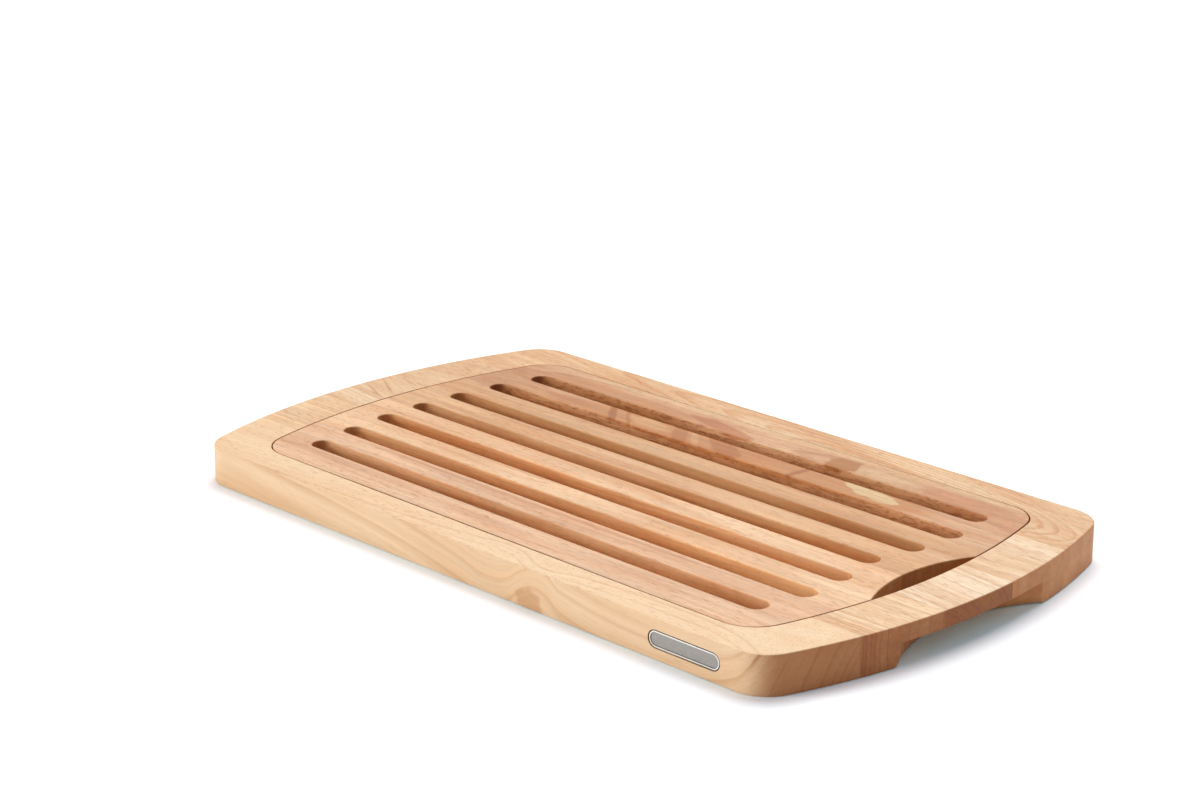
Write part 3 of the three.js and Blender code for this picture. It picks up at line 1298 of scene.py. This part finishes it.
@dataclass
class SlottedInsert:
    """The upper part: a slotted panel with a finger notch, laid in the tray's pocket.

    Attributes:
        tray: The tray that carries it.
        slots: How many slots there are.
        slot_width: A slot's width.
        side_margin: From the insert's side to the first slot.
        end_margin: From the insert's end to the slots' ends.
        slot_arris: The radius of the arrises round the slots and the notch.
        notch_depth: How far the finger notch reaches in from the right end.
        notch_radius: The radius of the round cutter that makes it.
        notch_relief_radius: The radius of the arc on which the middle slots end beside it.
        slots_per_stave: How many slots lie between two glue lines.
        glue_inset: How far inside a slot its glue line lies.
        staves: The staves' wood, from the front one to the back one.
    """

    tray: CrumbTray
    slots: int = 7
    slot_width: float = 12.8
    side_margin: float = 21.5
    end_margin: float = 20.7
    slot_arris: float = 0.8
    notch_depth: float = 12.4
    notch_radius: float = 90.0
    notch_relief_radius: float = 78.0
    slots_per_stave: int = 2
    glue_inset: float = 0.1
    staves: Sequence[Rubberwood] = field(default_factory=list)

    def plan(self) -> BowedPlan:
        """The insert's outline."""
        return self.tray.seam().grown(-self.tray.clearance)

    def slot_lines(self) -> list[float]:
        """Places the slots.

        Returns:
            Their centre lines, from the front one to the back one.
        """
        outermost = self.plan().half_width - self.side_margin - self.slot_width / 2
        pitch = 2 * outermost / (self.slots - 1)
        return [index * pitch - outermost for index in range(self.slots)]

    def left_reach(self, y: float) -> float:
        """Finds how far a slot reaches by the insert's bowed end.

        Args:
            y: The slot's centre line.

        Returns:
            How far from the middle its end's centre lies.
        """
        plan = self.plan()
        radius = plan.end_radius - self.end_margin - self.slot_width / 2
        return plan.half_length - plan.end_radius + math.sqrt(radius**2 - y**2)

    def right_reach(self, y: float) -> float:
        """Finds how far a slot reaches at the right, where the notch shortens the middle ones.

        Args:
            y: The slot's centre line.

        Returns:
            How far from the middle its end's centre lies.
        """
        margin = self.end_margin + self.slot_width / 2
        apex = self.plan().half_length - self.notch_depth - margin
        radius = self.notch_relief_radius
        if abs(y) >= radius:
            return self.left_reach(y)
        return min(self.left_reach(y), apex + radius - math.sqrt(radius**2 - y**2))

    def glue_lines(self) -> list[float]:
        """The glue lines, just inside the front wall of every second slot."""
        reach = self.slot_width / 2 - self.glue_inset
        return [y - reach for i, y in enumerate(self.slot_lines()) if i % self.slots_per_stave]

    def build(self) -> list[bpy.types.Object]:
        """Builds the insert's staves, dressed.

        Returns:
            The staves from the front one to the back one.
        """
        low, high = self.tray.ledge(), self.tray.height
        outline = self.plan().outline()
        body = loft("insert", outline, rounded_levels(low, high, self.tray.seam_arris, steps=4))
        cut(body, [*self._slot_tools(), self._notch_tool()], Cut.AWAY)
        spare = 1.0
        side = self.plan().half_width + spare
        edges = [-side, *self.glue_lines(), side]
        pieces = []
        for index, (front, back) in enumerate(zip(edges, edges[1:])):
            node = f"insert_stave_{index + 1}"
            piece = slice_between(f"{node}_wood", body, front, back)
            smooth_shade(piece)
            dress(piece, self.staves[index].material(), "insert", node)
            pieces.append(piece)
        bpy.data.objects.remove(body)
        return pieces

    def _through_levels(self) -> list[Level]:
        """Gives the levels of a cutter through the insert, with an arris at both faces.

        Returns:
            The levels from the lowest to the highest.
        """
        low, high = self.tray.ledge(), self.tray.height
        middle = (low + high) / 2
        lower = mouth_levels(middle, low, self.slot_arris, steps=4)
        upper = mouth_levels(middle, high, self.slot_arris, steps=4)
        return lower + upper[1:]

    def _slot_tools(self) -> list[bpy.types.Object]:
        """Makes the slots' cutters.

        Returns:
            The cutters from the front one to the back one.
        """
        half = self.slot_width / 2
        return [
            loft(
                f"slot_{index + 1}",
                slot_outline(-self.left_reach(y), self.right_reach(y), y, half),
                self._through_levels(),
            )
            for index, y in enumerate(self.slot_lines())
        ]

    def _notch_tool(self) -> bpy.types.Object:
        """The finger notch's cutter."""
        centre = self.plan().half_length - self.notch_depth + self.notch_radius
        return loft("notch", disc_outline(centre, self.notch_radius), self._through_levels())


@dataclass
class Nameplate:
    """A small metal plate with a raised rim and a bare field, let into the front edge.

    Attributes:
        length: The plate's length.
        height: Its height, and the diameter of its round ends.
        thickness: Its thickness at the rim.
        rim: The rim's width.
        field_depth: How deep the field lies behind the rim.
        arris: The radius of the arrises.
        clearance: The gap all round the plate in its seat.
        sink: How deep the rim lies behind the tray's edge.
        corner_margin: From the plate's seat to where the tray's corner starts.
    """

    length: float = 47.4
    height: float = 9.0
    thickness: float = 1.0
    rim: float = 0.9
    field_depth: float = 0.35
    arris: float = 0.2
    clearance: float = 0.45
    sink: float = 0.3
    corner_margin: float = 9.7

    def outline(self) -> list[Arc]:
        """Draws the plate's outline, lying flat about the origin.

        Returns:
            Its two round ends.
        """
        radius = self.height / 2
        reach = self.length / 2 - radius
        return slot_outline(-reach, reach, 0, radius)

    def placing(self, tray: CrumbTray) -> Matrix:
        """Places the plate in its seat in the tray's front edge.

        Args:
            tray: The tray.

        Returns:
            The transform that stands the flat plate there.
        """
        x = tray.plan().corner().x - self.corner_margin - self.clearance - self.length / 2
        y = self.sink + self.thickness - tray.width / 2
        place = Matrix.Translation(Vector((x, y, tray.height / 2)) * MM)
        return place @ Matrix.Rotation(QUARTER_TURN, 4, "X")

    def seat_tool(self, tray: CrumbTray) -> bpy.types.Object:
        """Makes the cutter of the plate's seat.

        Args:
            tray: The tray that it is cut into.

        Returns:
            The cutter.
        """
        levels = mouth_levels(0, self.thickness + self.sink, self.arris, steps=3)
        grown = [Level(level.height, level.offset + self.clearance) for level in levels]
        tool = loft("plate_seat", self.outline(), grown)
        tool.data.transform(self.placing(tray))
        return tool

    def build(self, tray: CrumbTray) -> bpy.types.Object:
        """Builds the plate, dressed.

        Args:
            tray: The tray that it sits in.

        Returns:
            The plate.
        """
        overlap = 1.0
        levels = rounded_levels(0, self.thickness, self.arris, steps=4)
        plate = loft("nameplate_metal", self.outline(), levels)
        low, high = self.thickness - self.field_depth, self.thickness + overlap
        sunk = [Level(low, -self.rim), Level(high, -self.rim)]
        cut(plate, [loft("field", self.outline(), sunk)], Cut.AWAY)
        plate.data.transform(self.placing(tray))
        smooth_shade(plate)
        face = self.placing(tray) @ Vector((0, 0, self.thickness * MM)) / MM
        radius = self.height / 2 - self.rim
        reach = self.length / 2 - self.height / 2
        metal = StruckMetal("struck_zinc", tuple(face), reach, radius, self.rim, self.field_depth)
        dress(plate, metal.material(), "tray", "nameplate")
        return plate


# Studio


def seen_directly(tree: Tree) -> Source:
    """Finds whether the camera, a reflection or a clear body looks at the surface.

    Args:
        tree: The material's or the world's tree.

    Returns:
        1 where it does, and 0 where the surface only lights others.
    """
    path = add_node(tree, "ShaderNodeLightPath")
    seen = path.outputs["Is Camera Ray"]
    for kind in ("Is Glossy Ray", "Is Transmission Ray"):
        seen = add_node(tree, "ShaderNodeMath", {0: seen, 1: path.outputs[kind]}, operation="MAXIMUM")
    return seen


@dataclass
class Studio:
    """A plain white floor, soft lamps and the camera, in metres.

    Attributes:
        plan: The outline of what stands on the floor, in millimetres.
        eye: Where the camera stands.
        azimuth: How far the camera is turned from Y towards -X.
        elevation: How far it looks down.
        sensor: Its sensor's width, in millimetres.
        focal_pixels: Its focal length, in pixels of the photograph.
        frame_pixels: The photograph's width in pixels.
        floor_size: The floor's side.
        floor_colour: The floor as it lights the board.
        floor_near: What the floor's look is multiplied by under the board, where the wood warms
            its light.
        floor_far: What it is multiplied by away from the board.
        floor_fade: How far beyond the board's outline the change starts and ends.
        floor_glow: How far from the board's middle the floor starts to show white and shows it in
            full.
        room_colour: The room's light.
        room_light: The room's strength as it lights the board.
    """

    plan: BowedPlan
    eye: Vector = field(default_factory=lambda: Vector((1.03383, -1.04494, 0.55446)))
    azimuth: float = math.radians(45.50)
    elevation: float = math.radians(18.31)
    sensor: float = 36.0
    focal_pixels: float = 2824.5
    frame_pixels: float = 1200.0
    floor_size: float = 12.0
    floor_colour: str = "#ececec"
    floor_near: Colour = (1.0, 1.40, 1.60, 1.0)
    floor_far: Colour = (1.17, 1.20, 1.24, 1.0)
    floor_fade: Pair = (-0.006, 0.007)
    floor_glow: Pair = (0.4, 1.2)
    room_colour: str = "#f6f9ff"
    room_light: float = 0.34

    def build(self) -> None:
        """Builds the whole studio."""
        self._camera()
        self._floor()
        self._world()
        for lamp in LAMPS:
            lamp.build()

    def _camera(self) -> None:
        """Stands the camera at the photograph's viewpoint."""
        camera = bpy.data.objects.new("camera", bpy.data.cameras.new("camera"))
        camera.data.sensor_width = self.sensor
        camera.data.lens = self.focal_pixels / self.frame_pixels * self.sensor
        camera.data.clip_start = 0.01
        level = math.cos(self.elevation)
        ahead = Vector(
            (-math.sin(self.azimuth) * level, math.cos(self.azimuth) * level, -math.sin(self.elevation))
        )
        turn = ahead.to_track_quat("-Z", "Y").to_matrix().to_4x4()
        camera.matrix_world = Matrix.Translation(self.eye) @ turn
        bpy.context.scene.collection.objects.link(camera)
        bpy.context.scene.camera = camera

    def _floor(self) -> None:
        """Lays the floor, which the camera and reflections see as white apart from shadows."""
        bm = bmesh.new()
        bmesh.ops.create_grid(bm, x_segments=1, y_segments=1, size=self.floor_size / 2)
        floor = as_object("floor", bm)
        material, tree = new_material("white_floor")
        shown = seen_directly(tree)
        looks = {0: shown, 6: linear_colour(self.floor_colour), 7: self._floor_seen(tree)}
        paint = add_node(tree, "ShaderNodeMix", looks, data_type="RGBA")
        matt = add_node(tree, "ShaderNodeBsdfDiffuse", {"Color": paint})
        place = add_node(tree, "ShaderNodeTexCoord")
        away = add_node(tree, "ShaderNodeVectorMath", {0: place.outputs["Object"]}, operation="LENGTH")
        start, full = self.floor_glow
        fade = add_node(tree, "ShaderNodeMapRange", {0: away, 1: start, 2: full}, **SMOOTH)
        lit = add_node(tree, "ShaderNodeMath", {0: fade, 1: shown}, operation="MULTIPLY")
        glow = add_node(tree, "ShaderNodeEmission", {"Color": (1, 1, 1, 1), "Strength": lit})
        both = add_node(tree, "ShaderNodeAddShader", {0: matt, 1: glow})
        add_node(tree, "ShaderNodeOutputMaterial", {"Surface": both})
        floor.data.materials.append(material)

    def _floor_seen(self, tree: Tree) -> Source:
        """Colours the floor as it is seen, cooler near the board, where the wood warms its light.

        Args:
            tree: The floor material's tree.

        Returns:
            The colour.
        """
        beyond = self._beyond_board(tree)
        start, full = self.floor_fade
        fade = add_node(tree, "ShaderNodeMapRange", {0: beyond, 1: start, 2: full}, **SMOOTH)
        looks = {0: fade, 6: self.floor_near, 7: self.floor_far}
        return add_node(tree, "ShaderNodeMix", looks, data_type="RGBA")

    def _beyond_board(self, tree: Tree) -> Source:
        """Finds how far a place on the floor lies beyond the board's outline.

        Args:
            tree: The floor material's tree.

        Returns:
            The distance in metres, which is below 0 under the board.
        """
        plan = self.plan
        corner = plan.corner_radius * MM
        place = add_node(tree, "ShaderNodeTexCoord")
        reach = add_node(tree, "ShaderNodeVectorMath", {0: place.outputs["Object"]}, operation="ABSOLUTE")
        bow = (plan.end_radius - plan.half_length) * MM
        moved = add_node(tree, "ShaderNodeVectorMath", {0: reach, 1: (bow, 0, 0)}, operation="ADD")
        out = add_node(tree, "ShaderNodeVectorMath", {0: moved}, operation="LENGTH")
        across = add_node(tree, "ShaderNodeSeparateXYZ", {0: reach})
        sides = (
            (out, plan.end_radius * MM - corner),
            (across.outputs["Y"], plan.half_width * MM - corner),
        )
        parts = {}
        for index, (far, edge) in enumerate(sides):
            part = add_node(tree, "ShaderNodeMath", {0: far, 1: edge}, operation="SUBTRACT")
            parts[index] = add_node(tree, "ShaderNodeMath", {0: part, 1: 0.0}, operation="MAXIMUM")
        beyond = add_node(tree, "ShaderNodeCombineXYZ", parts)
        rounded = add_node(tree, "ShaderNodeVectorMath", {0: beyond}, operation="LENGTH")
        return add_node(tree, "ShaderNodeMath", {0: rounded, 1: corner}, operation="SUBTRACT")

    def _world(self) -> None:
        """Fills the room with even white light, and shows it as white."""
        world = bpy.data.worlds.new("white_room")
        bpy.context.scene.world = world
        world.use_nodes = True
        tree = world.node_tree
        tree.nodes.clear()
        strength = add_node(tree, "ShaderNodeMapRange", {0: seen_directly(tree), 3: self.room_light})
        light = {"Color": linear_colour(self.room_colour), "Strength": strength}
        sky = add_node(tree, "ShaderNodeBackground", light)
        add_node(tree, "ShaderNodeOutputWorld", {"Surface": sky})


@dataclass(frozen=True)
class Lamp:
    """A soft square lamp that looks at the board.

    Attributes:
        name: The lamp's name.
        place: Where it stands, in metres.
        size: Its side, in metres.
        power: Its power in watts.
        colour: Its colour.
    """

    name: str
    place: Triple
    size: float
    power: float
    colour: str = "#ffffff"

    def build(self) -> None:
        """Hangs the lamp."""
        light = bpy.data.lights.new(self.name, "AREA")
        light.size = self.size
        light.energy = self.power
        light.color = linear_colour(self.colour)[:3]
        lamp = bpy.data.objects.new(self.name, light)
        turn = (-Vector(self.place)).to_track_quat("-Z", "Y").to_matrix().to_4x4()
        lamp.matrix_world = Matrix.Translation(Vector(self.place)) @ turn
        bpy.context.scene.collection.objects.link(lamp)


LAMPS = (
    Lamp("overhead", (-0.4, 0.8, 1.9), 1.6, 40.0),
    Lamp("front", (-1.4, -2.3, 0.6), 1.1, 40.0),
)


# The staves of this board, from the front one to the back one

# Places along X and the pith's rise there, of a log crooked by a branch and of an arched one
CROOKED = (
    (-240, 5), (-160, 0), (-67, -8.3), (-30, -13.8), (0, -19.5), (28, -24), (52, -14),
    (62, -11), (80, -18), (141, -24.5), (175, -23), (217, -3), (240, 12),
)
ARCHED = (
    (-240, -4), (-150, -3), (-50, -1), (0, 0), (60, 1), (110, 1.2), (150, 0.8), (190, -1),
    (240, -5.5),
)
TRAY_STAVES = (
    Rubberwood(
        "rubberwood_tray_1",
        Trunk((-14, -42), rise=CROOKED, ring=6.0, wander=1.2, seed=1),
        "#efcea6",
        contrast=0.08,
        end_grain="#cea27e",
        mottle="#fbf3ea",
        streaks=0.14,
        grain=0.45,
        pore_depth=0.38,
        end_figure=8.0,
        lines=(GrowthLine(137.3, 4.8, 2.2), GrowthLine(143.1, 3.6, 1.6)),
        swells=(Swell((57, -137, 3), (11, 30, 9), 2.7),),
        patches=(
            Patch((56, -136, 2), (10, 12, 10), "#c48a54", 0.55),
            Patch((-190, -136, 4), (80, 12, 9), "#dca873", 0.4, 0, 0.9),
            # Painted shade: dark wood in the plate's seat, for the shadow in the gap round the plate
            Patch((177, -133.9, 11), (26, 0.9, 6.5), "#3c281c", 1.0),
        ),
    ),
    Rubberwood(
        "rubberwood_tray_2",
        Trunk((20, 4), slope=(0.01, 0.02), ring=7.0, seed=2),
        "#efd0a7",
        end_grain="#cb9a71",
        lines=[GrowthLine(radius, 0.9, 1.4) for radius in (92, 95.5, 98, 101)],
    ),
    Rubberwood(
        "rubberwood_tray_3",
        Trunk((-17, -30), slope=(-0.135, 0), ring=4.5, wander=1.2, seed=3),
        "#efd6b4",
        contrast=0.45,
        end_grain="#b2752e",
        grain=0.6,
        painted_light_slope=(0.09, 0.14, 0.21),
        lines=(
            GrowthLine(55.6, 1.3, 0.3),
            GrowthLine(57.9, 1.3, 0.5),
            GrowthLine(61.7, 1.3, 0.7),
            GrowthLine(66.8, 1.3, 0.8),
            GrowthLine(75.7, 1.3, 1.0),
            GrowthLine(84.8, 1.3, 1.0),
        ),
        patches=(
            Patch((-222.5, 25, 22), (1, 10, 8), "#b8844c", 0.5, 77, 0.7),
            Patch((-224, 9.7, 22), (1, 15, 8), "#b27c46", 0.5, 61, 0.7),
            Patch((-222, -2.2, 22), (1, 15, 8), "#b27c46", 0.5, 67, 0.7),
        ),
    ),
    Rubberwood(
        "rubberwood_tray_4",
        Trunk((60, -120), slope=(0.02, 0.03), ring=6.0, seed=4),
        "#e8cba6",
        contrast=0.45,
        # Partly painted light: paler end grain, for the extra light on the back of the end
        end_grain="#e6b482",
        grain=0.6,
        end_figure=0.3,
        painted_light_slope=(0.09, 0.14, 0.21),
        patches=(Patch((-215, 67, 22), (1.2, 9, 8), "#b8844c", 0.35, 65, 0.8),),
    ),
    Rubberwood(
        "rubberwood_tray_5",
        Trunk((118, -38), (-0.095, 0.0), ARCHED, ring=2.7, wander=0.35, seed=5),
        "#e2c097",
        contrast=0.4,
        # Partly painted light: paler end grain, for the extra light on the back of the end
        end_grain="#f9cca0",
        grain=0.7,
        end_figure=0.3,
        painted_light_slope=(0.06, 0.11, 0.17),
        lines=[
            GrowthLine(radius, 1.6, 0.45) for radius in (59.3, 59.66, 60.26, 61, 61.9, 62.8, 63.9, 65)
        ],
        # Painted light: a pale line on the back seam's arris, which hides the gap's shade
        patches=(Patch((0, 114.5, 22.3), (200, 0.8, 1), "#f6e2c2", 0.6),),
    ),
)
INSERT_STAVES = (
    Rubberwood(
        "rubberwood_insert_1",
        Trunk((-150, 60), slope=(0.01, 0.02), ring=5.0, seed=6),
        "#e6bd97",
        "#c8946c",
        0.4,
        end_grain="#cdac8a",
        routed="#f7f1e4",
        painted_wall_light=1.25,
        curls=0.15,
        patches=(
            Patch((0, -68, 20), (150, 2, 10), "#c08a62", 0.4),
            # Painted shade: a dark line on the front arris, deepening the seam's shade
            Patch((0, -114.6, 21.5), (260, 0.7, 1.6), "#6a4426", 0.9),
        ),
    ),
    Rubberwood(
        "rubberwood_insert_2",
        Trunk((-30, 110), slope=(0.01, 0.02), ring=5.0, seed=7),
        "#eec79e",
        end_grain="#d6c0a4",
        routed="#f4e8d8",
        painted_wall_light=1.25,
        curls=0.1,
        patches=(
            # Painted light: a pale patch on slot 2's back wall, lifting it out of the slot's shade
            Patch((160, -51, 15), (80, 2, 9), "#ffe0b4", 0.9, 0, 1.0),
            Patch((170, -43, 24), (110, 12, 6), "#ecc69d", 0.8, 0, 1.0),
        ),
    ),
    Rubberwood(
        "rubberwood_insert_3",
        Trunk((-60, 10), slope=(0.01, 0), ring=4.5, seed=8),
        "#dcb286",
        end_grain="#d8c2a6",
        routed="#f2ede4",
        painted_wall_light=1.25,
        curls=0.1,
        lines=[GrowthLine(radius, 0.7, 1.2) for radius in (92, 95, 97, 100, 103, 106)],
        patches=(
            Patch((0, 43, 24), (400, 13, 6), "#ae7438", 0.25),
            # Painted light: a pale patch and a warm one on slot 4's back wall, against the slot's grey
            # shade
            Patch((-90, 6.4, 15), (125, 2, 9), "#f2d6b4", 0.4, 0, 1.0),
            Patch((135, 6.4, 15), (40, 2, 9), "#e2aa74", 0.5, 0, 0.8),
        ),
    ),
    Rubberwood(
        "rubberwood_insert_4",
        Trunk((95, -30), slope=(0.02, 0.06), ring=5.0, wander=6, seed=9),
        "#d8ac82",
        "#aa7049",
        0.5,
        routed="#fbfcf8",
        painted_wall_light=1.36,
        curls=0.5,
        patches=(
            Patch((-191, 84, 24), (22, 40, 6), "#ba8658", 0.6, 40, 0.5, True),
            Patch((0, 72, 24), (190, 13, 6), "#b77637", 0.75, 0, 0.2),
            Patch((-92, 72, 24), (3.2, 15, 6), "#9c5b1c", 0.95, 42),
            Patch((-79, 72, 24), (1.6, 15, 6), "#a56428", 0.85, 45),
            Patch((-62, 73, 22), (19, 6, 7), "#ce9f6c", 0.75, -8, 0.5),
            Patch((-37, 72, 24), (6, 15, 6), "#ab6c32", 0.9, 41, 0.25),
            Patch((-25, 72, 22), (2.5, 14, 7), "#cb9a6a", 0.7, 45, 0.6),
            Patch((-2, 72, 24), (8.5, 19, 6), "#aa6628", 0.9, 61, 0.25),
            Patch((55, 72, 24), (3.2, 14, 4), "#9a541a", 0.8, -8, 0.5),
            Patch((106, 74.5, 22), (23, 6.5, 6), "#d5b482", 0.95, -12, 0.15),
            Patch((-110, 97, 22), (75, 8, 7), "#bf8856", 0.7),
            Patch((-28, 98, 24), (36, 5.3, 6), "#b67342", 0.8, -10, 0.2),
            Patch((97, 100, 24), (26, 8.6, 6), "#cfab82", 0.7, 0, 0.3, True),
            Patch((64, 99.5, 24), (11.5, 9, 6), "#a86c28", 0.9, 22, 0.25, True),
            Patch((162, 98, 24), (46, 10.5, 6), "#bf885e", 0.65, -12, 0.25, True),
            Patch((20, 111.5, 24), (200, 4, 7), "#dbb88a", 0.7, 0, 0.9),
            # Painted light: a pale line on the back seam's arris, which hides the gap's shade
            Patch((0, 114.5, 22.3), (200, 0.8, 1), "#f6e2c2", 0.6),
        ),
    ),
)


def main() -> None:
    """Builds the board and its studio."""
    logging.basicConfig(level=logging.INFO, format="%(name)s: %(message)s")
    bpy.context.scene.view_settings.view_transform = "Standard"
    tray = CrumbTray(staves=TRAY_STAVES)
    Studio(tray.plan()).build()
    plate = Nameplate()
    pieces = tray.build(plate)
    pieces.append(plate.build(tray))
    pieces += SlottedInsert(tray, staves=INSERT_STAVES).build()
    for piece in pieces:
        LOG.info("%s: %d faces", piece.name, len(piece.data.polygons))


if __name__ == "__main__":
    main()
